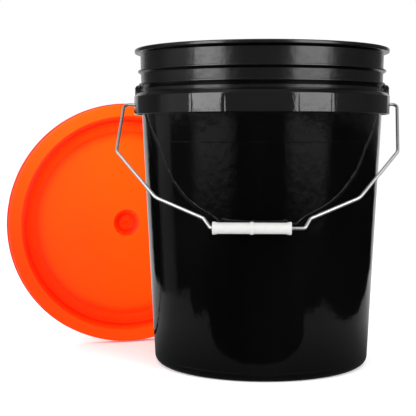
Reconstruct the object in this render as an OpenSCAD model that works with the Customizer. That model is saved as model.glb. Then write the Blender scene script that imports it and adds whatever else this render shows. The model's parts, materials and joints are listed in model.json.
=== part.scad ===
// Plastic fermenting bucket: a moulded 5 US gallon pail with a wire bail, a roller grip and a press-on lid.
// The origin is the centre of the bucket's base, on the surface it stands on. +Z is up and -Y is the front.
// The bail hangs against the front wall. The lid is off, and stands on its edge behind the left side.

/* [Bucket] */
// Height of the bucket, to the top of the rim
bucket_h = 370; // [330:1:400]
// Radius of the rim bead
rim_r = 150; // [149:0.5:151]
// Outer radius of the wall at the base, before the corner is rounded
base_r = 126.6; // [118:0.1:130]
// Outer radius of the wall where the skirt band begins
shoulder_r = 141.5; // [140:0.1:142]
// Outer radius of the neck just under the rim
neck_r = 143.4; // [143:0.1:144]
// Thickness of the wall
wall_t = 2.3; // [1.8:0.1:2.6]
// Radius of the outer corner between the wall and the base
corner_r = 9; // [6:0.5:12]
// Height of the recess under the floor, inside the foot ring
foot_h = 4; // [2:0.5:6]

/* [Neck ribs and skirt band] */
// Height of the underside of the upper rib
rib1_z = 343.4; // [341:0.1:346]
// Radius of the upper rib
rib1_r = 146.2; // [145:0.1:147]
// Height of the underside of the lower rib
rib2_z = 328.1; // [326:0.1:330]
// Radius of the lower rib
rib2_r = 145.2; // [144.5:0.1:146]
// Thickness of each rib at its tip
rib_t = 1.9; // [1.4:0.1:2.4]
// Height of the slope under the upper rib
rib1_slope = 2.2; // [1:0.1:4]
// Height of the slope under the lower rib
rib2_slope = 4.2; // [1:0.1:4.4]
// Radius of the skirt band
band_r = 150.8; // [150:0.1:152]
// Height of the band's lower edge
band_z = 294; // [292:0.5:296]
// Height of the band's upper edge, where its shoulder begins
band_top_z = 314.5; // [313:0.5:316]
// Thickness of the band
band_t = 2.1; // [1.6:0.1:2.4]
// Number of gusset places around the band; the two at the ears hold the ear towers
gusset_count = 24; // [12:4:28]

/* [Bail and grip] */
// Height of the bail's hinge axis
hinge_z = 306; // [304:0.5:308]
// Diameter of the bail wire
wire_d = 3.7; // [3:0.1:4]
// Distance from the hinge axis to the middle of the grip
bail_reach = 196.5; // [190:0.5:205]
// Length of the grip
grip_l = 84.6; // [76:0.1:86]
// Diameter of the grip
grip_d = 12.1; // [11:0.1:14]
// Diameter of the flares at the grip's ends and of the ring at its middle
grip_ring_d = 13.9; // [13:0.1:16]
// How far the grip has slid along the wire
grip_shift = -9.5; // [-9.5:0.5:0]

/* [Lid] */
// Largest radius of the lid, at the lower edge of its skirt
lid_r = 155.5; // [155:0.1:156]
// Depth of the lid's panel below its rim
lid_depth = 16; // [14:0.5:18]
// Thickness of the lid
lid_t = 2.2; // [1.8:0.1:2.4]
// Angle that the standing lid is turned, so that its left side comes forward
lid_yaw = 20; // [20:1:30]
// Sideways place of the standing lid's middle
lid_x = -170; // [-185:1:-165]
// Front-to-back place of the standing lid's middle
lid_y = 93; // [93:1:120]

/* [Hidden] */
$fn = 96;
plastic_black = [0.03, 0.03, 0.032];
steel = [0.72, 0.73, 0.75];
plastic_white = [0.93, 0.93, 0.91];
plastic_orange = [1.0, 0.33, 0.05];
rubber = [0.12, 0.12, 0.12];

// Wall lines: the outer radius of the wall at a height
taper = (shoulder_r - base_r) / band_z;
neck_z = bucket_h - 7;
neck_taper = (neck_r - shoulder_r) / (neck_z - band_z);
function wall_r(z) = z < band_z ? base_r + taper * z : shoulder_r + neck_taper * (z - band_z);
floor_t = 2.8;

// Rim bead
nose_r = 2.1;
nose = [rim_r - nose_r, bucket_h - nose_r];
bead_z = bucket_h - 6;
mouth_r = neck_r - wall_t;

// Skirt band: how far it runs into the wall, the chamfer of its lower edge, and its gussets
skirt_lap = 0.5;
skirt_chamfer = 0.7;
gusset_t = 1.8;
bore_l = 400;

// Ear towers: their outer and inner half widths, and the heights of their roofs
tower_r = 149.8;
tower_half = 16.5;
tower_wall = 2.2;
tower_top_z = rib2_z + 0.6;
pocket_top_z = tower_top_z - 4.2;

// Bail wire: each corner is [x, distance below the hinge axis], and each has its own bend radius.
// The loop is bent by hand, so its two arms differ a little.
wire_r = wire_d / 2;
hole_clearance = 0.3;
ear_x = 144.8;
tail_l = 11;
left_arm = [[-164, 0], [-165.6, 79.5], [-115.5, 152], [-61.5, bail_reach - 14], [-53.6, bail_reach]];
right_arm = [[160.2, 0], [154.4, 79.5], [107.5, 151.5], [53, bail_reach - 14], [46.8, bail_reach]];
arm_bends = [5.5, 12, 18, 6, 4];
last = len(arm_bends) - 1;
left_loop = [for (p = left_arm) [p.x, -p.y]];
right_loop = [for (i = [last:-1:0]) [right_arm[i].x, -right_arm[i].y]];
wire_points = concat(
    [[-ear_x, -tail_l], [-ear_x, 0]], left_loop, right_loop, [[ear_x, 0], [ear_x, -tail_l]]);
tail_bend = 3.4;
wire_bends = concat(
    [0, tail_bend], arm_bends, [for (i = [last:-1:0]) arm_bends[i]], [tail_bend, 0]);
bend_thinning = 0.03;
bend_lap = 0.25;

// Angle of the bail at rest, counted from straight down, where the grip's ring lies against the wall
rest_gap = 0.4;
grip_line = base_r + taper * hinge_z + grip_ring_d / 2 + rest_gap;
bail_rest = asin(grip_line / (bail_reach * sqrt(1 + taper * taper))) - atan(taper);

// Grip
grip_bore_r = wire_r + hole_clearance;
grip_cavity_r = 3.6;
grip_end_t = 4;
flare_l = 5.5;
ring_l = 5.2;

// Lid, drawn with the top of its rim at height 0
plug_r = mouth_r;
skirt_r = rim_r + 1.6;
skirt_h = lid_depth + lid_t - 0.2;
hook_r = rim_r - 1.1;
gasket_t = 2.2;
gasket_in = 143;
gasket_out = 149;
dimple_r = 18;
dimple_floor_r = 9;
dimple_h = 5.5;
blank_h = 40;

// ---- bucket ----

module strip(outer, inner) {
    polygon(concat(outer, [for (i = [len(inner) - 1:-1:0]) inner[i]]));
}

module wall_profile() {
    strip(
        [[wall_r(corner_r), corner_r], [shoulder_r, band_z], [neck_r, neck_z], [neck_r, bucket_h - 1]],
        [[wall_r(corner_r) - wall_t, corner_r], [shoulder_r - wall_t, band_z], [mouth_r, neck_z],
         [mouth_r, bucket_h - 1]]);
}

module corner_profile() {
    middle = wall_r(corner_r) - corner_r;
    intersection() {
        translate([middle, corner_r])
            difference() {
                circle(corner_r);
                circle(corner_r - wall_t);
            }
        translate([middle, 0]) square(corner_r);
    }
}

module floor_profile() {
    edge = wall_r(corner_r) - corner_r;
    strip(
        [[0, foot_h], [edge - 9, foot_h], [edge - 5, 0], [edge, 0]],
        [[0, foot_h + floor_t], [edge - 7.5, foot_h + floor_t], [edge - 3, wall_t], [edge, wall_t]]);
}

module rim_profile() {
    low = [neck_r, bead_z];
    reach = norm(nose - low);
    lean = atan2(nose.y - low.y, nose.x - low.x) - asin(nose_r / reach);
    run = sqrt(reach * reach - nose_r * nose_r);
    touch = low + run * [cos(lean), sin(lean)];
    translate(nose) circle(nose_r);
    polygon([[mouth_r, bead_z], low, touch, nose, [nose.x, bucket_h], [mouth_r + 1, bucket_h],
             [mouth_r, bucket_h - 1]]);
}

// A rib with a rounded tip, flat above and sloping back to the wall below
module rib_profile(z, r, slope) {
    tip = rib_t / 2;
    root = shoulder_r - 0.5;
    polygon([[root, z + rib_t], [r - tip, z + rib_t], [r - tip, z], [wall_r(z - slope) - 0.3, z - slope],
             [root, z - slope]]);
    translate([r - tip, z + tip]) circle(tip);
}

module band_profile() {
    inner_r = band_r - band_t;
    root = shoulder_r - skirt_lap;
    polygon([
        [inner_r, band_z], [band_r - skirt_chamfer, band_z], [band_r, band_z + skirt_chamfer],
        [band_r, band_top_z], [band_r - 0.9, band_top_z + 2], [band_r - 3, band_top_z + 4],
        [root, band_top_z + 6], [root, band_top_z + 3.6], [inner_r - 2.2, band_top_z + 1.6],
        [inner_r, band_top_z - 0.8]]);
}

// The tower's outline, or with an inset its pocket's, which starts lower and has its own roof
module tower_profile(inset) {
    root = shoulder_r - 1;
    face = tower_r - inset;
    low = band_z + 4 - inset * 6;
    roof = inset == 0 ? tower_top_z : pocket_top_z;
    polygon([[root, low], [face, low], [face, roof - 4], [face - 1.4, roof - 2.2], [root, roof]]);
}

// One side's ear: a slice of a revolved profile, as wide as the tower or its pocket
module tower_slice(half_width, inset) {
    block = 60;
    intersection() {
        rotate_extrude() tower_profile(inset);
        translate([shoulder_r - block / 2, -half_width, band_z - block / 6])
            cube([block, 2 * half_width, block]);
    }
}

module gusset() {
    inner_x = shoulder_r - 0.8;
    outer_x = band_r - 1;
    rotate([90, 0, 0])
        linear_extrude(gusset_t, center = true)
            polygon([[inner_x, band_z + 3], [outer_x, band_z + 3], [outer_x, band_top_z - 0.3],
                     [band_r - 3.4, band_top_z + 2.4], [inner_x, band_top_z + 4.6]]);
}

module skirt() {
    difference() {
        union() {
            rotate_extrude() band_profile();
            for (side = [0, 180]) rotate(side) tower_slice(tower_half, 0);
        }
        for (side = [0, 180]) rotate(side) tower_slice(tower_half - tower_wall, band_t - 1);
        rotate([0, 90, 0])
            translate([-hinge_z, 0, -bore_l / 2])
                cylinder(h = bore_l, r = wire_r + hole_clearance);
    }
    pitch = 360 / gusset_count;
    for (i = [0:gusset_count - 1])
        if (i % (gusset_count / 2) != 0) rotate(i * pitch) gusset();
}

module bucket() {
    color(plastic_black) {
        skirt();
        rotate_extrude() {
            wall_profile();
            corner_profile();
            floor_profile();
            rim_profile();
            rib_profile(rib1_z, rib1_r, rib1_slope);
            rib_profile(rib2_z, rib2_r, rib2_slope);
        }
    }
}

// ---- bail wire ----

function unit(v) = v / norm(v);
function turn_at(i) =
    let (a = unit(wire_points[i] - wire_points[i - 1]), b = unit(wire_points[i + 1] - wire_points[i]))
    atan2(a.x * b.y - a.y * b.x, a.x * b.x + a.y * b.y);
function trim_at(i) =
    wire_bends[i] == 0 ? 0 : wire_bends[i] * tan(abs(turn_at(i)) / 2);

// A straight run of wire between corners i and i + 1; its ends lap a little over the bends
module wire_run(i) {
    along = unit(wire_points[i + 1] - wire_points[i]);
    lap_start = wire_bends[i] == 0 ? 0 : bend_lap;
    lap_end = wire_bends[i + 1] == 0 ? 0 : bend_lap;
    start = wire_points[i] + along * (trim_at(i) - lap_start);
    length = norm(wire_points[i + 1] - wire_points[i]) - trim_at(i) - trim_at(i + 1) + lap_start + lap_end;
    translate(start)
        rotate(atan2(along.y, along.x))
            rotate([0, 90, 0])
                cylinder(h = length, r = wire_r, $fn = 32);
}

// The bend at corner i, as part of a torus; a bent wire is drawn a hair thinner than a straight one
module wire_bend(i) {
    along = unit(wire_points[i] - wire_points[i - 1]);
    turn = turn_at(i);
    hand = sign(turn);
    side = hand * [-along.y, along.x];
    middle = wire_points[i] - along * trim_at(i) + side * wire_bends[i];
    begin = atan2(-side.y, -side.x);
    translate(middle)
        rotate(hand > 0 ? begin : begin + turn)
            rotate_extrude(angle = abs(turn), $fn = 96)
                translate([wire_bends[i], 0]) circle(wire_r - bend_thinning, $fn = 32);
}

module at_bail() {
    translate([0, 0, hinge_z]) rotate([-bail_rest, 0, 0]) children();
}

module bail_wire() {
    color(steel)
        at_bail()
            rotate([90, 0, 0]) {
                for (i = [0:len(wire_points) - 2]) wire_run(i);
                for (i = [1:len(wire_points) - 2]) wire_bend(i);
            }
}

// ---- grip ----

// The grip's outline from its middle to one end, outside and inside, as [radius, distance from the middle]
module grip_profile() {
    half = grip_l / 2;
    r = grip_d / 2;
    ring_r = grip_ring_d / 2;
    outside = [
        [ring_r, ring_l / 2 - 1.2], [r, ring_l / 2], [r, half - flare_l], [ring_r, half - flare_l / 3],
        [ring_r, half - 0.5], [ring_r - 0.5, half]];
    inside = [
        [grip_bore_r, half], [grip_bore_r, half - grip_end_t], [grip_cavity_r, half - grip_end_t]];
    one_end = concat(outside, inside);
    other_end = [for (i = [len(one_end) - 1:-1:0]) [one_end[i].x, -one_end[i].y]];
    polygon(concat(one_end, other_end));
}

module bail_grip() {
    color(plastic_white)
        at_bail()
            translate([grip_shift, 0, -bail_reach])
                rotate([0, 90, 0])
                    rotate_extrude() grip_profile();
}

// ---- lid ----

// Solid from the lid's top surface down past its underside; the underside is cut from it
module lid_top_line() {
    polygon([
        [0, -blank_h], [0, -lid_depth - dimple_h], [dimple_floor_r, -lid_depth - dimple_h],
        [dimple_r, -lid_depth], [plug_r - 21, -lid_depth], [plug_r - 14, -lid_depth + 1.1],
        [plug_r - 8, -lid_depth + 5.5], [plug_r - 2.6, -1.4], [plug_r - 1.4, 0], [skirt_r + 0.9, 0],
        [skirt_r + 2.3, -1.4], [skirt_r + 2.8, -skirt_h + 3], [lid_r, -skirt_h + 2],
        [lid_r, -blank_h]]);
}

module lid_underside_line() {
    polygon([
        [0, -blank_h - 10], [0, -lid_depth - dimple_h - lid_t],
        [dimple_floor_r + 1, -lid_depth - dimple_h - lid_t],
        [dimple_r + 1.6, -lid_depth - lid_t], [plug_r - 20.6, -lid_depth - lid_t],
        [plug_r - 12.8, -lid_depth + 1.1 - lid_t], [plug_r - 5.8, -lid_depth + 4.7],
        [plug_r - 0.4, -3.6], [plug_r, -lid_t], [skirt_r, -lid_t], [skirt_r, -7.8],
        [hook_r, -9.4], [hook_r, -10.2], [skirt_r + 0.2, -12], [skirt_r + 0.2, -skirt_h],
        [lid_r + 10, -skirt_h], [lid_r + 10, -blank_h - 10]]);
}

module lid_body() {
    rotate_extrude()
        difference() {
            lid_top_line();
            lid_underside_line();
        }
    translate([0, 0, -lid_depth - dimple_h - 0.1]) cylinder(h = 1.1, r1 = 1.6, r2 = 1.1);
}

module at_lid() {
    translate([lid_x, lid_y, lid_r]) rotate([0, 0, lid_yaw]) rotate([90, 0, 0]) children();
}

module lid() {
    color(plastic_orange) at_lid() lid_body();
}

module lid_gasket() {
    color(rubber)
        at_lid()
            rotate_extrude()
                translate([gasket_in, -lid_t - gasket_t]) square([gasket_out - gasket_in, gasket_t]);
}

bucket();
bail_wire();
bail_grip();
lid();
lid_gasket();
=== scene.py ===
import json
import math

import bmesh
import bpy
from mathutils import Matrix, Vector


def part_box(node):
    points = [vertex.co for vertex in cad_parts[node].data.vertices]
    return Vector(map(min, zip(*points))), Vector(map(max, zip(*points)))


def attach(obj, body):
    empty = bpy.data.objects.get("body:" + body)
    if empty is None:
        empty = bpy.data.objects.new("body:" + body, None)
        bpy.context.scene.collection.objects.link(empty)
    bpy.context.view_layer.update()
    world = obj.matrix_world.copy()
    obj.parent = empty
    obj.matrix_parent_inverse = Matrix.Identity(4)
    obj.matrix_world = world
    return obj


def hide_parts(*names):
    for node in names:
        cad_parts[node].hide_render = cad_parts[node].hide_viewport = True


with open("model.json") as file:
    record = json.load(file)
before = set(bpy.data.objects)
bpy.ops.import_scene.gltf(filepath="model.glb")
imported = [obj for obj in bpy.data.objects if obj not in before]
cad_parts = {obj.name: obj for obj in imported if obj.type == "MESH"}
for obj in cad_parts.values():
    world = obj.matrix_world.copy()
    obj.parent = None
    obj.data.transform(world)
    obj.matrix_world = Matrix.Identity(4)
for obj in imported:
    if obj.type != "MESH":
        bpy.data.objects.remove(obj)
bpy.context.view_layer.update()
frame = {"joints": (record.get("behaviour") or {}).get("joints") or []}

MM = 0.001
TAU = 2 * math.pi
JOINTS = {joint["name"]: joint for joint in frame["joints"]}

# ---- sizes, in millimetres, as the CAD model has them ----

BUCKET_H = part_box("bucket")[1].z / MM
BAND_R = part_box("bucket")[1].x / MM
RIM_R = 150.0
BASE_R = 126.6
SHOULDER_R = 141.5
NECK_R = 143.4
NECK_Z = BUCKET_H - 7
WALL_T = 2.3
BAND_Z = 294.0
BAND_TOP_Z = 314.5
BAND_T = 2.1
RIB_T = 1.9
RIB1 = (146.2, 343.4)
RIB2 = (145.2, 328.1)
RIB1_SLOPE = 2.2
RIB2_SLOPE = 4.2
FOOT_H = 4.0
FLOOR_T = 2.8
CORNER_R = 9.0
MOUTH_R = NECK_R - WALL_T
TOWER_R = 149.8
TOWER_MIDDLE_R = 145.0
TOWER_HALF = 16.5
TOWER_WALL = 2.2
SHOULDER_TOP_Z = 320.3
POCKET_Z = 323.0
RIDGE_Z = 262.2
RIDGE_OUT = 0.02
GROOVE_Z = 10.4
GROOVE_IN = 0.12
# Places for gussets round the band. The two at the ears hold no gusset.
GUSSETS = 24
GUSSET_T = 1.8
HINGE_Z = JOINTS["bail_swing"]["pos_m"][2] / MM
WIRE_R = 1.85
HOLE_R = WIRE_R + 0.3
WIRE_SIDES = 24
HOLE_SIDES = 32

TAPER = (SHOULDER_R - BASE_R) / BAND_Z
NECK_TAPER = (NECK_R - SHOULDER_R) / (NECK_Z - BAND_Z)


def wall_r(z):
    """Outer radius of the bucket's wall at a height."""
    if z < BAND_Z:
        return BASE_R + TAPER * z
    return SHOULDER_R + NECK_TAPER * (z - BAND_Z)


# Radius where the floor meets the corner's fillet
FLOOR_R = wall_r(CORNER_R) - CORNER_R


# ---- mesh tools ----

# Distance of a fillet's support points, a fillet's usual number of steps, and the angle from which an edge is
# shaded sharp
GUARD = 0.08
FILLET_STEPS = 5
SHARP = math.radians(38)


def corner_arc(before, here, after, radius):
    """The arc that rounds a corner: the ways and the distance to its ends, its centre, start and sweep."""
    a = (before - here).normalized()
    b = (after - here).normalized()
    half = a.angle(b) / 2
    reach = radius / math.tan(half)
    centre = here + (a + b).normalized() * (radius / math.sin(half))
    start = here + a * reach - centre
    end = here + b * reach - centre
    begin = math.atan2(start.y, start.x)
    sweep = (math.atan2(end.y, end.x) - begin + math.pi) % TAU - math.pi
    return a, b, reach, centre, begin, sweep


def arc_points(centre, radius, begin, sweep, steps):
    angles = [begin + sweep * k / steps for k in range(steps + 1)]
    return [centre + Vector((math.cos(angle), math.sin(angle))) * radius for angle in angles]


def rounded(corners):
    """Points along a line of corners (radius, height, fillet, steps), with each fillet as an arc.

    A support point stands a little before and after each arc, so that smooth shading stays flat beside it.
    """
    points = []
    count = len(corners)
    for i, corner in enumerate(corners):
        here = Vector(corner[:2])
        fillet = corner[2] if len(corner) > 2 else 0
        steps = corner[3] if len(corner) > 3 else FILLET_STEPS
        if not fillet:
            points.append(here)
            continue
        before = Vector(corners[i - 1][:2])
        after = Vector(corners[(i + 1) % count][:2])
        a, b, reach, centre, begin, sweep = corner_arc(before, here, after, fillet)
        points.append(here + a * (reach + GUARD))
        points += arc_points(centre, fillet, begin, sweep, steps)
        points.append(here + b * (reach + GUARD))
    return points


def revolve(rings, closed=False):
    """A bmesh from outlines of (radius, height), one for each angle, joined round the Z axis.

    An open outline starts and ends on the axis, where all its points become one.
    """
    mesh = bmesh.new()
    columns = []
    poles = {}
    for angle, outline in rings:
        column = []
        for k, (r, z) in enumerate(outline):
            if r < 1e-6:
                if k not in poles:
                    poles[k] = mesh.verts.new((0, 0, z))
                column.append(poles[k])
            else:
                column.append(mesh.verts.new((r * math.cos(angle), r * math.sin(angle), z)))
        columns.append(column)
    size = len(columns[0])
    spans = size if closed else size - 1
    for i, column in enumerate(columns):
        other = columns[(i + 1) % len(columns)]
        for k in range(spans):
            j = (k + 1) % size
            corner = []
            for vertex in (column[k], other[k], other[j], column[j]):
                if vertex not in corner:
                    corner.append(vertex)
            mesh.faces.new(corner)
    bmesh.ops.recalc_face_normals(mesh, faces=mesh.faces)
    return mesh


def even_rings(outline, count):
    return [(TAU * i / count, outline) for i in range(count)]


def make(name, mesh, matrix=None):
    """An object in metres from a bmesh in millimetres."""
    if matrix is not None:
        mesh.transform(matrix)
    mesh.transform(Matrix.Scale(MM, 4))
    data = bpy.data.meshes.new(name)
    mesh.to_mesh(data)
    mesh.free()
    for polygon in data.polygons:
        polygon.use_smooth = True
    data.set_sharp_from_angle(angle=SHARP)
    piece = bpy.data.objects.new(name, data)
    bpy.context.scene.collection.objects.link(piece)
    return piece


def cut_or_join(piece, tool, operation):
    """Applies a boolean of tool to piece, and removes tool."""
    step = piece.modifiers.new("step", "BOOLEAN")
    step.operation = operation
    step.solver = "EXACT"
    step.object = tool
    graph = bpy.context.evaluated_depsgraph_get()
    result = bpy.data.meshes.new_from_object(piece.evaluated_get(graph))
    piece.modifiers.clear()
    piece.data = result
    bpy.data.objects.remove(tool)
    for polygon in result.polygons:
        polygon.use_smooth = True
    result.set_sharp_from_angle(angle=SHARP)


def smooth_step(t):
    t = min(1.0, max(0.0, t))
    return t * t * (3 - 2 * t)


# ---- camera: the photograph's angle ----

CAMERA_AT = (0, -1.250, 0.268)
CAMERA_PITCH = 3.907
CAMERA_YAW = 2.908
LENS = 90.37


def make_camera():
    data = bpy.data.cameras.new("camera")
    data.sensor_width = 36
    data.lens = LENS
    data.clip_end = 50
    camera = bpy.data.objects.new("camera", data)
    camera.location = CAMERA_AT
    camera.rotation_euler = (math.radians(90 - CAMERA_PITCH), 0, math.radians(CAMERA_YAW))
    bpy.context.scene.collection.objects.link(camera)
    bpy.context.scene.camera = camera


# ---- materials ----

def new_material(name):
    material = bpy.data.materials.new(name)
    material.use_nodes = True
    nodes = material.node_tree.nodes
    shader = nodes["Principled BSDF"]
    coords = nodes.new("ShaderNodeTexCoord")
    return material, material.node_tree, shader, coords.outputs["Object"]


def noise(tree, coords, scale, detail=2.0, stretch=None):
    node = tree.nodes.new("ShaderNodeTexNoise")
    node.inputs["Scale"].default_value = scale
    node.inputs["Detail"].default_value = detail
    if stretch:
        mapping = tree.nodes.new("ShaderNodeMapping")
        mapping.inputs["Scale"].default_value = stretch
        tree.links.new(coords, mapping.inputs["Vector"])
        coords = mapping.outputs["Vector"]
    tree.links.new(coords, node.inputs["Vector"])
    return node.outputs["Fac"]


def spread(tree, value, low, high, from_low=0.3, from_high=0.7):
    """Maps a noise value to a range."""
    node = tree.nodes.new("ShaderNodeMapRange")
    node.inputs["From Min"].default_value = from_low
    node.inputs["From Max"].default_value = from_high
    node.inputs["To Min"].default_value = low
    node.inputs["To Max"].default_value = high
    tree.links.new(value, node.inputs["Value"])
    return node.outputs["Result"]


def add_bump(tree, shader, height, distance, below=None):
    node = tree.nodes.new("ShaderNodeBump")
    node.inputs["Distance"].default_value = distance
    tree.links.new(height, node.inputs["Height"])
    if below is not None:
        tree.links.new(below, node.inputs["Normal"])
    tree.links.new(node.outputs["Normal"], shader.inputs["Normal"])
    return node.outputs["Normal"]


def math_node(tree, operation, first, second=None):
    node = tree.nodes.new("ShaderNodeMath")
    node.operation = operation
    for socket, value in zip(node.inputs, (first, second)):
        if value is None:
            continue
        if isinstance(value, (int, float)):
            socket.default_value = value
        else:
            tree.links.new(value, socket)
    return node.outputs["Value"]


def blend_values(tree, factor, low, high):
    node = tree.nodes.new("ShaderNodeMix")
    node.data_type = "FLOAT"
    tree.links.new(factor, node.inputs["Factor"])
    tree.links.new(low, node.inputs["A"])
    tree.links.new(high, node.inputs["B"])
    return node.outputs["Result"]


def color_mix(tree, value, low, high):
    """Blends two colours, each a tuple or a socket."""
    node = tree.nodes.new("ShaderNodeMix")
    node.data_type = "RGBA"
    tree.links.new(value, node.inputs["Factor"])
    for name, color in (("A", low), ("B", high)):
        if isinstance(color, tuple):
            node.inputs[name].default_value = (*color, 1)
        else:
            tree.links.new(color, node.inputs[name])
    return node.outputs["Result"]


def mix_colors(tree, shader, value, low, high):
    tree.links.new(color_mix(tree, value, low, high), shader.inputs["Base Color"])


# Heights in metres over which the body's finish turns to the band's, and the band's to the neck's
BAND_START = ((BAND_Z - 0.5) * MM, (BAND_Z + 0.5) * MM)
NECK_START = ((SHOULDER_TOP_Z - 3.3) * MM, (SHOULDER_TOP_Z - 0.3) * MM)


def bucket_material():
    material, tree, shader, coords = new_material("bucket_plastic")
    shader.inputs["IOR"].default_value = 1.5
    clouds = noise(tree, coords, 14, 3, (1, 1, 0.35))
    mix_colors(tree, shader, spread(tree, clouds, 0, 1), (0.0004, 0.0004, 0.0005), (0.0013, 0.0013, 0.0014))
    # The moulded neck is rougher than the polished body, and the band lies between them
    place = tree.nodes.new("ShaderNodeSeparateXYZ")
    tree.links.new(coords, place.inputs["Vector"])
    height = place.outputs["Z"]
    body = spread(tree, noise(tree, coords, 60, 4), 0.055, 0.10)
    band = spread(tree, noise(tree, coords, 90, 4, (1, 1, 4)), 0.07, 0.11)
    neck = spread(tree, noise(tree, coords, 90, 4, (1, 1, 4)), 0.20, 0.27)
    lower = blend_values(tree, spread(tree, height, 0.0, 1.0, *BAND_START), body, band)
    upper = blend_values(tree, spread(tree, height, 0.0, 1.0, *NECK_START), lower, neck)
    tree.links.new(upper, shader.inputs["Roughness"])
    waves = add_bump(tree, shader, noise(tree, coords, 11, 1.5, (1, 1, 0.45)), 0.0012)
    ripple = add_bump(tree, shader, noise(tree, coords, 130, 3, (1, 1, 0.6)), 0.0002, below=waves)
    add_bump(tree, shader, noise(tree, coords, 900, 2), 0.00002, below=ripple)
    return material


def lid_material():
    material, tree, shader, coords = new_material("lid_plastic")
    shader.inputs["IOR"].default_value = 1.48
    shader.inputs["Specular IOR Level"].default_value = 0.06
    # Painted shade: the ambient occlusion node turns the orange to a deep red in the hollows and recesses,
    # where shade falls
    hollow = tree.nodes.new("ShaderNodeAmbientOcclusion")
    hollow.samples = 8
    hollow.only_local = True
    hollow.inputs["Distance"].default_value = 0.026
    painted_hollow_shade = spread(tree, hollow.outputs["AO"], 1.0, 0.0, 0.88, 0.995)
    clouds = spread(tree, noise(tree, coords, 9, 3), -0.05, 0.05)
    # Painted light: the orange is lighter toward the upper right and darker toward the lower left, as the
    # light falls
    place = tree.nodes.new("ShaderNodeSeparateXYZ")
    tree.links.new(coords, place.inputs["Vector"])
    painted_light_slant = math_node(tree, "ADD", place.outputs["X"], math_node(tree, "MULTIPLY", place.outputs["Z"], 0.5))
    orange = color_mix(
        tree, spread(tree, painted_light_slant, 0.0, 1.0, -0.25, -0.04), (1.0, 0.033, 0.0004), (1.0, 0.100, 0.0036))
    # Painted shade: the colour turns from the orange to deep red in the hollows, with a little random tone
    mix_colors(tree, shader, math_node(tree, "ADD", painted_hollow_shade, clouds), orange, (1.0, 0.003, 0.0001))
    rough = noise(tree, coords, 120, 4)
    tree.links.new(spread(tree, rough, 0.38, 0.5), shader.inputs["Roughness"])
    waves = add_bump(tree, shader, noise(tree, coords, 16, 2), 0.0006)
    add_bump(tree, shader, noise(tree, coords, 1400, 2), 0.00003, below=waves)
    return material


def wire_material():
    material, tree, shader, coords = new_material("wire_steel")
    shader.inputs["Metallic"].default_value = 1.0
    spots = noise(tree, coords, 420, 4)
    mix_colors(tree, shader, spread(tree, spots, 0, 1), (0.70, 0.705, 0.71), (0.86, 0.86, 0.855))
    tree.links.new(spread(tree, noise(tree, coords, 700, 3), 0.42, 0.56), shader.inputs["Roughness"])
    add_bump(tree, shader, noise(tree, coords, 1500, 3), 0.00004)
    return material


def grip_material():
    material, tree, shader, coords = new_material("grip_plastic")
    shader.inputs["IOR"].default_value = 1.5
    clouds = noise(tree, coords, 120, 3)
    mix_colors(tree, shader, spread(tree, clouds, 0, 1), (0.435, 0.435, 0.43), (0.46, 0.46, 0.455))
    tree.links.new(spread(tree, noise(tree, coords, 500, 3), 0.38, 0.5), shader.inputs["Roughness"])
    add_bump(tree, shader, noise(tree, coords, 1600, 3), 0.00004)
    return material


def gasket_material():
    material, tree, shader, coords = new_material("gasket_rubber")
    clouds = noise(tree, coords, 80, 3)
    mix_colors(tree, shader, spread(tree, clouds, 0, 1), (0.014, 0.014, 0.014), (0.03, 0.03, 0.029))
    tree.links.new(spread(tree, noise(tree, coords, 600, 3), 0.55, 0.75), shader.inputs["Roughness"])
    add_bump(tree, shader, noise(tree, coords, 2200, 3), 0.00005)
    return material


def finish_piece(piece, node, body, material):
    piece.data.materials.clear()
    piece.data.materials.append(material)
    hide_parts(node)
    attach(piece, body)


# ---- bucket ----

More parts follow.
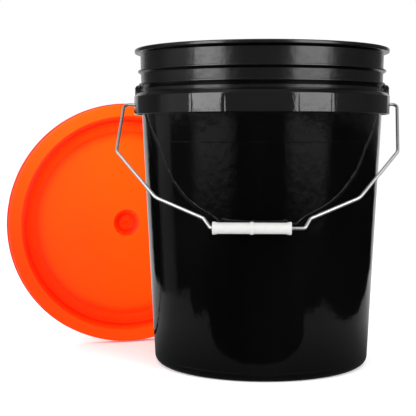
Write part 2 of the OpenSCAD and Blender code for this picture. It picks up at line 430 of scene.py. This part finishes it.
def bucket_corners(ear):
    """The bucket's outline from the inside of the floor, over the rim and down to the underside.

    With ear, the shoulder is drawn as the ear tower and the skirt's channel as the tower's pocket.
    """
    inner_wall = [
        (0, FOOT_H + FLOOR_T),
        (FLOOR_R - 7.5, FOOT_H + FLOOR_T, 3, 4),
        (FLOOR_R - 3, WALL_T, 2.5, 4),
        (wall_r(WALL_T) - WALL_T, WALL_T, CORNER_R - WALL_T, 8),
        (SHOULDER_R - WALL_T, BAND_Z),
        (MOUTH_R, NECK_Z),
        (MOUTH_R, BUCKET_H, 1.0),
    ]
    rim = [
        (RIM_R, BUCKET_H, 1.6, 7),
        (RIM_R, BUCKET_H - 4.4, 1.3, 7),
        (NECK_R - 0.02, BUCKET_H - 6.0, 0.6, 4),
    ]
    ribs = [
        (wall_r(RIB1[1] + RIB_T), RIB1[1] + RIB_T, 0.4, 5),
        (RIB1[0], RIB1[1] + RIB_T, 0.7, 4),
        (RIB1[0], RIB1[1], 0.7, 4),
        (wall_r(RIB1[1] - RIB1_SLOPE), RIB1[1] - RIB1_SLOPE, 1.2, 4),
        (wall_r(RIB2[1] + RIB_T), RIB2[1] + RIB_T, 0.4, 5),
        (RIB2[0], RIB2[1] + RIB_T, 0.7, 4),
    ]
    shoulder = [
        (RIB2[0], RIB2[1], 0.7, 4),
        (wall_r(RIB2[1] - RIB2_SLOPE), RIB2[1] - RIB2_SLOPE, 1.5, 4),
        (wall_r(SHOULDER_TOP_Z), SHOULDER_TOP_Z, 0.4, 5),
        (BAND_R - 2.9, SHOULDER_TOP_Z - 2.0, 2.0, 5),
        (BAND_R, BAND_TOP_Z, 1.0, 4),
    ]
    tower = [
        (RIB2[0], RIB2[1] + 0.5, 0.25, 4),
        (TOWER_R - 1.6, RIB2[1] - 0.5, 0.7, 4),
        (TOWER_R, RIB2[1] - 3.0, 0.7, 5),
        (TOWER_R, BAND_TOP_Z + 2.0, 0.6, 5),
        (BAND_R, BAND_TOP_Z + 0.4, 0.6, 4),
    ]
    band = [
        (BAND_R, BAND_Z, 0.7, 4),
        (BAND_R - BAND_T, BAND_Z, 0.5, 3),
    ]
    channel = [
        (BAND_R - BAND_T, BAND_TOP_Z - 0.3, 1.5, 4),
        (wall_r(BAND_TOP_Z + 2.4), BAND_TOP_Z + 2.4, 1.5, 4),
    ]
    pocket = [
        (BAND_R - BAND_T, POCKET_Z, 1.5, 4),
        (wall_r(POCKET_Z + 1.5), POCKET_Z + 1.5, 1.5, 4),
    ]
    body = [
        (SHOULDER_R, BAND_Z),
        (wall_r(RIDGE_Z + 0.5), RIDGE_Z + 0.5, 1.0, 2),
        (wall_r(RIDGE_Z) + RIDGE_OUT, RIDGE_Z, 0.6, 2),
        (wall_r(RIDGE_Z - 0.5), RIDGE_Z - 0.5, 1.0, 2),
        (wall_r(GROOVE_Z + 0.5), GROOVE_Z + 0.5, 1.0, 2),
        (wall_r(GROOVE_Z) - GROOVE_IN, GROOVE_Z, 0.6, 2),
        (wall_r(GROOVE_Z - 0.5), GROOVE_Z - 0.5, 1.0, 2),
    ]
    foot = [
        (BASE_R, 0, CORNER_R, 9),
        (FLOOR_R - 5, 0, 0.8, 4),
        (FLOOR_R - 9, FOOT_H, 1.5, 4),
        (0, FOOT_H),
    ]
    return [inner_wall, rim, ribs, tower if ear else shoulder, band, pocket if ear else channel, body, foot]


def point_groups():
    """For each point of the outline, which part of the ear moves it: 1 the tower, 2 the pocket, or 0."""
    groups = []
    marks = [0, 0, 0, 1, 0, 2, 0, 0]
    for mark, part in zip(marks, bucket_corners(False)):
        for corner in part:
            count = 1
            if len(corner) > 2:
                # An arc has one point more than its steps, and a support point on each side
                count = (corner[3] if len(corner) > 3 else FILLET_STEPS) + 3
            groups += [mark] * count
    return groups


# Width over which an ear's shape turns to the plain one, and the size of a sink mark
EAR_SOFT = 1.1
SINK_DEPTH = 0.16
SINK_HALF = 0.8


def ear_blend(angle, half_width):
    """How far an ear's shape has taken over at this angle, from 0 to 1."""
    across = abs(math.sin(angle)) * TOWER_R
    return smooth_step((half_width + EAR_SOFT / 2 - across) / EAR_SOFT)


def sink_mark(angle):
    """How deep the sink mark that each gusset leaves on the band's face is here, from 0 to 1."""
    pitch = TAU / GUSSETS
    off = (angle + pitch / 2) % pitch - pitch / 2
    return math.exp(-((off * BAND_R / SINK_HALF) ** 2))


BUCKET_COLUMNS = 216


def column_angles():
    """Angles of the bucket's columns, with extra ones at the sink marks and the ears' sides.

    They are rounded, so that a column isn't made twice.
    """
    angles = {round(TAU * i / BUCKET_COLUMNS, 7) for i in range(BUCKET_COLUMNS)}
    for i in range(GUSSETS):
        for k in (-3, -2, -1, 1, 2, 3):
            angles.add(round((TAU * i / GUSSETS + k * 0.5 / BAND_R) % TAU, 7))
    for side in (0, math.pi):
        for half in (TOWER_HALF, TOWER_HALF - TOWER_WALL):
            for sign in (-1, 1):
                for k in range(-4, 5):
                    across = half + EAR_SOFT * k / 8
                    angles.add(round((side + sign * math.asin(across / TOWER_R)) % TAU, 7))
    return sorted(angles)


def gusset(angle, thickness, low, high):
    """A plate between the wall and the band, under the band's shoulder."""
    mesh = bmesh.new()
    inner = SHOULDER_R - 0.6
    outer = BAND_R - 0.9
    outline = [
        (inner, low), (outer - 0.5, low), (outer, low + 0.5),
        (outer, high - 1.5), (BAND_R - 3.6, high + 1.2), (inner, high + 3.2)]
    faces = []
    for side in (-0.5, 0.5):
        verts = [mesh.verts.new((r, side * thickness, z)) for r, z in outline]
        faces.append(verts)
    mesh.faces.new(faces[0])
    mesh.faces.new(list(reversed(faces[1])))
    for i in range(len(outline)):
        j = (i + 1) % len(outline)
        mesh.faces.new((faces[0][i], faces[1][i], faces[1][j], faces[0][j]))
    bmesh.ops.recalc_face_normals(mesh, faces=mesh.faces)
    mesh.transform(Matrix.Rotation(angle, 4, "Z"))
    return mesh


def joined(meshes):
    whole = bmesh.new()
    for mesh in meshes:
        data = bpy.data.meshes.new("part")
        mesh.to_mesh(data)
        mesh.free()
        whole.from_mesh(data)
        bpy.data.meshes.remove(data)
    return whole


def round_bar(start, end, radius):
    """A closed cylinder between two points."""
    mesh = bmesh.new()
    axis = Vector(end) - Vector(start)
    bmesh.ops.create_cone(
        mesh, cap_ends=True, segments=HOLE_SIDES, radius1=radius, radius2=radius, depth=axis.length)
    turn = Vector((0, 0, 1)).rotation_difference(axis).to_matrix().to_4x4()
    mesh.transform(Matrix.Translation((Vector(start) + Vector(end)) / 2) @ turn)
    return mesh


def make_bucket():
    plain = rounded([corner for part in bucket_corners(False) for corner in part])
    eared = rounded([corner for part in bucket_corners(True) for corner in part])
    groups = point_groups()
    face_low = BAND_Z + 0.7
    face_high = BAND_TOP_Z - 0.5
    rings = []
    for angle in column_angles():
        blends = (0, ear_blend(angle, TOWER_HALF), ear_blend(angle, TOWER_HALF - TOWER_WALL))
        sink = 0 if blends[1] > 0 else SINK_DEPTH * sink_mark(angle)
        outline = []
        for a, b, group in zip(plain, eared, groups):
            point = a.lerp(b, blends[group])
            if point.x > BAND_R - 0.3 and face_low <= point.y <= face_high:
                point = Vector((point.x - sink, point.y))
            outline.append((point.x, point.y))
        rings.append((angle, outline))
    piece = make("bucket_shell", revolve(rings))
    pitch = TAU / GUSSETS
    plates = [
        gusset(i * pitch, GUSSET_T, BAND_Z + 3, BAND_TOP_Z)
        for i in range(GUSSETS) if i % (GUSSETS // 2)]
    # The ear towers' side walls
    turn = math.asin((TOWER_HALF - TOWER_WALL / 2) / TOWER_MIDDLE_R)
    for side in (0, math.pi):
        for sign in (-1, 1):
            plates.append(gusset(side + sign * turn, TOWER_WALL, BAND_Z + 4, BAND_TOP_Z))
    cut_or_join(piece, make("plates", joined(plates)), "UNION")
    holes = [
        round_bar((side * (SHOULDER_R + 3), 0, HINGE_Z), (side * (BAND_R + 3), 0, HINGE_Z), HOLE_R)
        for side in (-1, 1)]
    cut_or_join(piece, make("holes", joined(holes)), "DIFFERENCE")
    finish_piece(piece, "bucket", "bucket", bucket_material())


# ---- bail wire and grip ----

GRIP_AT = Vector(JOINTS["grip_spin"]["pos_m"]) / MM
HINGE = Vector((0, 0, HINGE_Z))
BAIL_REACH = math.hypot(GRIP_AT.y, HINGE_Z - GRIP_AT.z)
BAIL_REST = math.atan2(-GRIP_AT.y, HINGE_Z - GRIP_AT.z)
EAR_X = 144.8
TAIL_L = 11.0
# Corners of the wire as (across, distance below the hinge axis, bend radius)
LEFT_ARM = [
    (-164, 0, 5.5), (-165.6, 79.5, 12), (-115.5, 152, 18),
    (-61.5, BAIL_REACH - 14, 6), (-53.6, BAIL_REACH, 4)]
RIGHT_ARM = [
    (160.2, 0, 5.5), (154.4, 79.5, 12), (107.5, 151.5, 18),
    (53, BAIL_REACH - 14, 6), (46.8, BAIL_REACH, 4)]
TAIL_BEND = 3.4
BEND_STEP = math.radians(7)
# Length of the chamfer on the wire's ends, and how much of the radius it leaves
TIP_CHAMFER = 0.5
TIP_SCALE = 0.72
GRIP_R = 6.05
GRIP_RING_R = 6.95
GRIP_BORE_R = 2.15
GRIP_HOLLOW_R = 3.6
GRIP_END_L = 4
GRIP_COLUMNS = 96


def bail_matrix():
    """From the bail's own plane, X across and Z away from the hinge axis, to its rest against the wall."""
    return Matrix.Translation(HINGE) @ Matrix.Rotation(-BAIL_REST, 4, "X")


def wire_path():
    """Points of the wire's centre line in its plane, with every bend as an arc."""
    tail = [(-EAR_X, TAIL_L, 0), (-EAR_X, 0, TAIL_BEND)]
    far_tail = [(EAR_X, 0, TAIL_BEND), (EAR_X, TAIL_L, 0)]
    corners = tail + LEFT_ARM + list(reversed(RIGHT_ARM)) + far_tail
    path = []
    for i, (x, down, bend) in enumerate(corners):
        here = Vector((x, -down))
        if not bend:
            path.append(here)
            continue
        before = Vector((corners[i - 1][0], -corners[i - 1][1]))
        after = Vector((corners[i + 1][0], -corners[i + 1][1]))
        centre, begin, sweep = corner_arc(before, here, after, bend)[3:]
        steps = max(4, math.ceil(abs(sweep) / BEND_STEP))
        path += arc_points(centre, bend, begin, sweep, steps)
    return path


def sweep_wire(path, radius):
    """A round wire along a flat path in the XZ plane, with chamfered ends."""
    mesh = bmesh.new()
    rings = []
    last = len(path) - 1
    for i, point in enumerate(path):
        before = (point - path[i - 1]).normalized() if i else None
        after = (path[i + 1] - point).normalized() if i < last else None
        along = (before + after).normalized() if before and after else before or after
        side = Vector((-along.y, along.x))
        stations = [(0, 1)]
        if i == 0:
            stations = [(0, TIP_SCALE), (TIP_CHAMFER, 1)]
        elif i == last:
            stations = [(-TIP_CHAMFER, 1), (0, TIP_SCALE)]
        for shift, scale in stations:
            middle = point + along * shift
            ring = []
            for k in range(WIRE_SIDES):
                angle = TAU * k / WIRE_SIDES
                across = side * (math.cos(angle) * radius * scale)
                place = (middle.x + across.x, math.sin(angle) * radius * scale, middle.y + across.y)
                ring.append(mesh.verts.new(place))
            rings.append(ring)
    for one, other in zip(rings, rings[1:]):
        for k in range(WIRE_SIDES):
            j = (k + 1) % WIRE_SIDES
            mesh.faces.new((one[k], one[j], other[j], other[k]))
    mesh.faces.new(list(reversed(rings[0])))
    mesh.faces.new(rings[-1])
    bmesh.ops.recalc_face_normals(mesh, faces=mesh.faces)
    return mesh


def make_wire():
    mesh = sweep_wire(wire_path(), WIRE_R)
    piece = make("bail_wire_steel", mesh, bail_matrix())
    finish_piece(piece, "bail_wire", "bail", wire_material())


def make_grip():
    low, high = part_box("bail_grip")
    half = (high.x - low.x) / 2 / MM
    middle_x = (high.x + low.x) / 2 / MM
    one_end = [
        (GRIP_RING_R, 1.1, 0.5), (GRIP_R, 2.4, 0.9), (GRIP_R, half - 6.2, 4),
        (GRIP_RING_R, half - 2.4, 2), (GRIP_RING_R, half, 0.9), (GRIP_BORE_R, half, 0.3),
        (GRIP_BORE_R, half - GRIP_END_L), (GRIP_HOLLOW_R, half - GRIP_END_L)]
    other_end = [(c[0], -c[1], *c[2:]) for c in reversed(one_end)]
    outline = [(p.x, p.y) for p in rounded(one_end + other_end)]
    mesh = revolve(even_rings(outline, GRIP_COLUMNS), closed=True)
    turn = Matrix.Rotation(math.pi / 2, 4, "Y")
    place = bail_matrix() @ Matrix.Translation((middle_x, 0, -BAIL_REACH)) @ turn
    piece = make("bail_grip_roller", mesh, place)
    finish_piece(piece, "bail_grip", "grip", grip_material())


# ---- lid ----

LID_R = (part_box("lid")[1].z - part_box("lid")[0].z) / 2 / MM
LID_T = 2.2
LID_DEPTH = 16.0
GASKET_T = 2.2
GASKET_IN = 143.0
GASKET_OUT = 149.0
LID_COLUMNS = 240
GASKET_COLUMNS = 180
LIFT = Vector(JOINTS["lid_lift"]["axis"])
LID_BACK = Vector((LIFT.x, LIFT.y, 0)).normalized()


def lid_matrix():
    """From the lid's own axis, with its rim's top at height 0, to where it stands on its edge."""
    low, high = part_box("lid_gasket")
    middle = (low + high) / 2 / MM
    centre = middle - LID_BACK * (LID_T + GASKET_T / 2)
    yaw = math.atan2(-LID_BACK.x, LID_BACK.y)
    return Matrix.Translation(centre) @ Matrix.Rotation(yaw, 4, "Z") @ Matrix.Rotation(math.pi / 2, 4, "X")


def make_lid():
    plug_r = MOUTH_R
    skirt_r = RIM_R + 1.6
    skirt_h = LID_DEPTH + LID_T - 0.2
    hook_r = RIM_R - 1.1
    dimple_z = -LID_DEPTH - 5.5
    corners = [
        (0, dimple_z + 0.95), (1.0, dimple_z + 0.95, 0.35, 3), (1.7, dimple_z, 0.5, 3),
        (9.5, dimple_z, 3.0, 5), (17.6, -LID_DEPTH, 1.6, 5),
        (120.5, -LID_DEPTH, 12, 7), (131.5, -12.2, 5, 7), (plug_r - 1.9, 0, 1.2, 6),
        (skirt_r + 2.2, 0, 1.8, 6), (skirt_r + 2.8, -skirt_h + 3, 0.3, 3), (LID_R, -skirt_h + 2.2, 0.3, 3),
        (LID_R, -skirt_h, 0.5, 3), (skirt_r + 0.2, -skirt_h, 0.5, 3),
        (skirt_r + 0.2, -12, 0.6, 3), (hook_r, -10.2, 0.3, 3), (hook_r, -9.4, 0.3, 3),
        (skirt_r, -7.8, 0.4, 3), (skirt_r, -LID_T, 0.4, 3),
        (plug_r, -LID_T, 0.4, 3), (plug_r - 0.4, -3.8, 1.5, 4),
        (130.0, -14.6, 5, 6), (121.5, -LID_DEPTH - LID_T, 5, 6),
        (19.4, -LID_DEPTH - LID_T, 1.6, 4), (10.8, dimple_z - LID_T, 3.0, 5), (0, dimple_z - LID_T)]
    outline = [(p.x, p.y) for p in rounded(corners)]
    piece = make("lid_shell", revolve(even_rings(outline, LID_COLUMNS)), lid_matrix())
    piece.visible_glossy = False
    finish_piece(piece, "lid", "lid", lid_material())


def make_gasket():
    top = -LID_T - 0.05
    low = -LID_T - GASKET_T
    corners = [
        (GASKET_IN, low, 0.9, 5), (GASKET_OUT, low, 0.9, 5),
        (GASKET_OUT, top, 0.3, 3), (GASKET_IN, top, 0.3, 3)]
    outline = [(p.x, p.y) for p in rounded(corners)]
    ring = revolve(even_rings(outline, GASKET_COLUMNS), closed=True)
    piece = make("lid_gasket_ring", ring, lid_matrix())
    finish_piece(piece, "lid_gasket", "lid", gasket_material())


# ---- floor, lights and surroundings ----

# Azimuths in degrees, from the front and positive to the left
LEFT_BOX_AZIMUTH = 47.0
RIGHT_BOX_AZIMUTH = -45.5
HALO_AZIMUTH = 78.0
STRIP_AZIMUTH = 108.0
BACKDROP_AZIMUTH = 176.5
REFLECTOR_AIM = (-0.04, 0.14, 0.26)
ROOM_FILL = 1.05


def area_light(name, azimuth, distance, centre_z, width, height, radiance):
    """An upright softbox that faces the bucket."""
    data = bpy.data.lights.new(name, "AREA")
    data.shape = "RECTANGLE"
    data.size = width
    data.size_y = height
    data.energy = radiance * math.pi * width * height
    lamp = bpy.data.objects.new(name, data)
    turn = math.radians(azimuth)
    lamp.location = (-math.sin(turn) * distance, -math.cos(turn) * distance, centre_z)
    aim = Vector((0, 0, centre_z)) - lamp.location
    lamp.rotation_euler = aim.to_track_quat("-Z", "Y").to_euler()
    lamp.visible_camera = False
    bpy.context.scene.collection.objects.link(lamp)
    return lamp


def make_lights():
    area_light(
        "softbox_left", LEFT_BOX_AZIMUTH, distance=1.6, centre_z=1.05, width=0.79, height=1.5, radiance=5.9)
    area_light(
        "softbox_right", RIGHT_BOX_AZIMUTH, distance=1.6, centre_z=1.05, width=0.96, height=1.5, radiance=4.8)
    # Reflector, which lights only the lid and isn't seen in the gloss
    fill = area_light("reflector", -8, distance=0.36, centre_z=0.45, width=0.4, height=0.3, radiance=6.0)
    fill.rotation_euler = (Vector(REFLECTOR_AIM) - fill.location).to_track_quat("-Z", "Y").to_euler()
    fill.visible_glossy = False
    only = bpy.data.collections.new("lid_fill")
    only.objects.link(bpy.data.objects["lid_shell"])
    fill.light_linking.receiver_collection = only
    fill.light_linking.blocker_collection = only


def facing(tree, side, back, azimuth):
    """How squarely a level direction points to an azimuth, from -1 to 1."""
    turn = math.radians(azimuth)
    across = math_node(tree, "MULTIPLY", side, -math.sin(turn))
    return math_node(tree, "SUBTRACT", across, math_node(tree, "MULTIPLY", back, math.cos(turn)))


def make_world():
    """The studio: what the gloss sees of it, the even light it gives, and the white the camera sees."""
    world = bpy.data.worlds.new("studio")
    bpy.context.scene.world = world
    world.use_nodes = True
    tree = world.node_tree
    tree.nodes.clear()
    out = tree.nodes.new("ShaderNodeOutputWorld")
    backgrounds = []
    for strength in (ROOM_FILL, 1.0, 1.0):
        node = tree.nodes.new("ShaderNodeBackground")
        node.inputs["Color"].default_value = (1, 1, 1, 1)
        node.inputs["Strength"].default_value = strength
        backgrounds.append(node)
    even, gloss, seen = backgrounds
    coords = tree.nodes.new("ShaderNodeTexCoord")
    split = tree.nodes.new("ShaderNodeSeparateXYZ")
    tree.links.new(coords.outputs["Generated"], split.inputs["Vector"])
    x, y, up = (split.outputs[k] for k in "XYZ")
    flat = math_node(tree, "SQRT", math_node(tree, "SUBTRACT", 1.0, math_node(tree, "MULTIPLY", up, up)))
    back = math_node(tree, "DIVIDE", y, flat)
    side = math_node(tree, "DIVIDE", x, flat)
    # Above the horizon the room is dim, lighter beside the left softbox, and darkest at the sides
    halo = spread(tree, facing(tree, side, back, HALO_AZIMUTH), 0.0, 0.32, 0.90, 0.99)
    room = math_node(tree, "ADD", spread(tree, back, 0.28, 0.12, -0.3, 0.3), halo)
    room = math_node(tree, "MULTIPLY", room, spread(tree, up, 0.04, 1.0, -0.05, 0.0))
    # A pale strip stands far round on the left
    strip = spread(tree, facing(tree, side, back, STRIP_AZIMUTH), 0.0, 0.22, 0.97, 0.992)
    strip = math_node(tree, "MULTIPLY", strip, spread(tree, up, 1.0, 0.0, -0.03, 0.0))
    strip = math_node(tree, "MULTIPLY", strip, spread(tree, up, 0.6, 1.0, -0.12, -0.05))
    total = math_node(tree, "ADD", room, strip)
    # Glow under each softbox
    for azimuth in (LEFT_BOX_AZIMUTH, RIGHT_BOX_AZIMUTH):
        glow = spread(tree, facing(tree, side, back, azimuth), 0.0, 0.5, 0.90, 0.975)
        fade = spread(tree, up, 0.05, 0.95, -0.17, -0.07)
        fade = math_node(tree, "MULTIPLY", fade, spread(tree, up, 1.0, 0.0, -0.068, -0.058))
        total = math_node(tree, "MAXIMUM", total, math_node(tree, "MULTIPLY", glow, fade))
    # The white backdrop stands behind the bucket
    paper = spread(tree, facing(tree, side, back, BACKDROP_AZIMUTH), 0.0, 0.72, 0.835, 0.87)
    paper = math_node(tree, "MULTIPLY", paper, spread(tree, up, 1.0, 0.25, 0.25, 0.42))
    total = math_node(tree, "MAXIMUM", total, paper)
    tree.links.new(total, gloss.inputs["Strength"])
    path = tree.nodes.new("ShaderNodeLightPath")
    shader = even.outputs["Background"]
    for node, ray in ((gloss, "Is Glossy Ray"), (seen, "Is Camera Ray")):
        mix = tree.nodes.new("ShaderNodeMixShader")
        tree.links.new(path.outputs[ray], mix.inputs["Fac"])
        tree.links.new(shader, mix.inputs[1])
        tree.links.new(node.outputs["Background"], mix.inputs[2])
        shader = mix.outputs["Shader"]
    tree.links.new(shader, out.inputs["Surface"])


def make_floor():
    mesh = bmesh.new()
    bmesh.ops.create_grid(mesh, x_segments=4, y_segments=4, size=6000)
    floor = make("floor", mesh)
    material, tree, shader, coords = new_material("floor_paper")
    clouds = noise(tree, coords, 3, 2)
    mix_colors(tree, shader, spread(tree, clouds, 0, 1), (0.93, 0.93, 0.93), (0.95, 0.95, 0.95))
    shader.inputs["Roughness"].default_value = 0.9
    shader.inputs["Specular IOR Level"].default_value = 0.0
    shader.inputs["Emission Color"].default_value = (1, 1, 1, 1)
    shader.inputs["Emission Strength"].default_value = 0.18
    floor.data.materials.append(material)
    floor.visible_glossy = False


# The glowing sheet on the floor that only the gloss sees, in radii of the bucket's base.
# It reaches back behind the bucket, and its front edge is a hollow curve, sharper on the right.
SHEET_HOLLOW = 1.5
SHEET_SIDE = 4.0
SHEET_BACK = (4.4, 10.0)
LEFT_TIP = 2.4
LEFT_CURVE = 4.0
RIGHT_TIP = 2.0
RIGHT_CURVE = 2.0
CURVE_STEPS = 6


def hollow_edge(tip, curve):
    """Points of the sheet's front edge from its middle out to a tip, as (across, how far in front)."""
    across = [tip * k / CURVE_STEPS for k in range(1, CURVE_STEPS + 1)]
    return [(x, SHEET_HOLLOW + x * x / (2 * curve)) for x in across]


def sheet_outline():
    """The sheet's corners in millimetres, from its back left round the front to its back right."""
    width, depth = SHEET_BACK
    left = [(-x, -y) for x, y in reversed(hollow_edge(LEFT_TIP, LEFT_CURVE))]
    right = [(x, -y) for x, y in hollow_edge(RIGHT_TIP, RIGHT_CURVE)]
    left_side = [(-width, depth), (-SHEET_SIDE, -SHEET_HOLLOW), (-LEFT_TIP - 0.25, -SHEET_HOLLOW)]
    right_side = [(RIGHT_TIP + 1.25, -2.0), (RIGHT_TIP + 0.75, -0.5), (SHEET_SIDE, 4.0), (width, depth)]
    corners = left_side + left + [(0, -SHEET_HOLLOW)] + right + right_side
    return [(x * BASE_R, y * BASE_R) for x, y in corners]


def make_sheet():
    mesh = bmesh.new()
    mesh.faces.new([mesh.verts.new((x, y, -1)) for x, y in sheet_outline()])
    sheet = make("lit_paper", mesh)
    material, tree, shader, coords = new_material("lit_paper")
    place = tree.nodes.new("ShaderNodeSeparateXYZ")
    tree.links.new(coords, place.inputs["Vector"])
    # Painted reflection: the sheet's glow stands in for the lit floor paper in the gloss. It is painted
    # brighter toward the back, and dimmer near the bucket as a painted contact shadow
    far = spread(tree, place.outputs["Y"], 0.23, 0.75, 0.0, 0.6)
    length = tree.nodes.new("ShaderNodeVectorMath")
    length.operation = "LENGTH"
    tree.links.new(coords, length.inputs[0])
    painted_contact_shadow = spread(tree, length.outputs["Value"], 0.3, 1.0, 0.13, 0.33)
    tree.links.new(math_node(tree, "MULTIPLY", far, painted_contact_shadow), shader.inputs["Emission Strength"])
    shader.inputs["Emission Color"].default_value = (1, 1, 1, 1)
    shader.inputs["Base Color"].default_value = (0, 0, 0, 1)
    shader.inputs["Specular IOR Level"].default_value = 0.0
    sheet.data.materials.append(material)
    sheet.visible_camera = False
    sheet.visible_diffuse = False
    sheet.visible_shadow = False


def main():
    bpy.context.scene.view_settings.view_transform = "Standard"
    make_camera()
    make_bucket()
    make_wire()
    make_grip()
    make_lid()
    make_gasket()
    make_floor()
    make_sheet()
    make_world()
    make_lights()


main()
